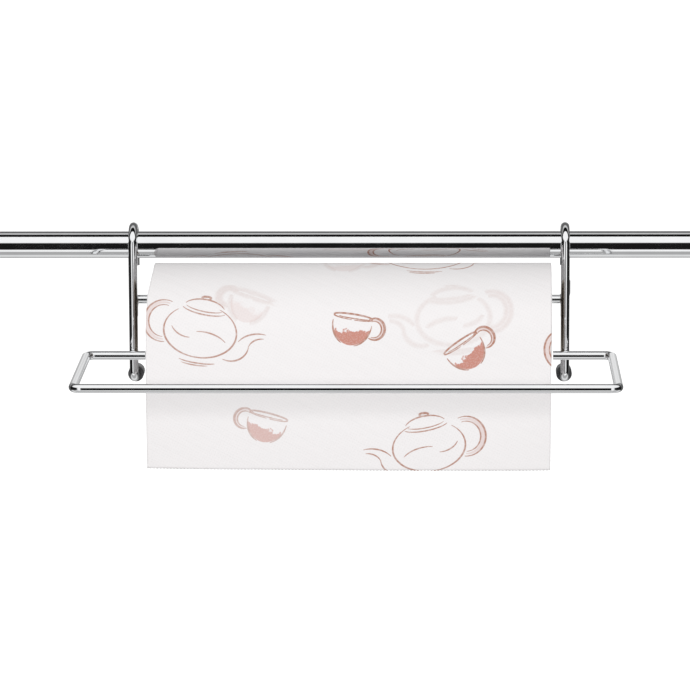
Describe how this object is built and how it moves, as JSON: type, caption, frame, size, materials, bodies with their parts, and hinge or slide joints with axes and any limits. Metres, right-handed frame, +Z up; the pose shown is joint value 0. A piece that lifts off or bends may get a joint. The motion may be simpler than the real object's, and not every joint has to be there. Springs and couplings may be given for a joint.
{
  "type": "rail-hung paper towel holder",
  "caption": "Bent-wire paper towel holder with two rail hooks, a lift-out roll rod, a part-used roll and a wide tear-off guard in front.",
  "frame": {"origin": "on the rail's axis, midway between the two hooks", "axes": "+X along the rail, +Y towards the wall, +Z up"},
  "size_m": [0.3168, 0.1371, 0.1411],
  "materials": {
    "chromed_wire": "polished chrome plating",
    "wall_cap": "smooth soft plastic, slightly glossy",
    "paper": "embossed two-ply tissue with a pale printed pattern",
    "cardboard": "bare spiral-wound board"
  },
  "bodies": {
    "frame": {"left_side_wire": "chromed_wire", "right_side_wire": "chromed_wire", "left_wall_cap": "wall_cap", "right_wall_cap": "wall_cap", "left_rod_cradle": "chromed_wire", "right_rod_cradle": "chromed_wire", "guard_wire": "chromed_wire"},
    "rod": {"roll_rod": "chromed_wire", "hanging_sheet": "paper"},
    "roll": {"cardboard_core": "cardboard", "paper_roll": "paper"}
  },
  "joints": [
    {"name": "rod_lift", "type": "slide", "parent": "frame", "child": "rod", "axis": [0, 0, 1], "range_m": [0, 0.0042]},
    {"name": "roll_spin", "type": "hinge", "parent": "rod", "child": "roll", "pos_m": [0, -0.0201, -0.04407], "axis": [1, 0, 0], "continuous": true}
  ]
}
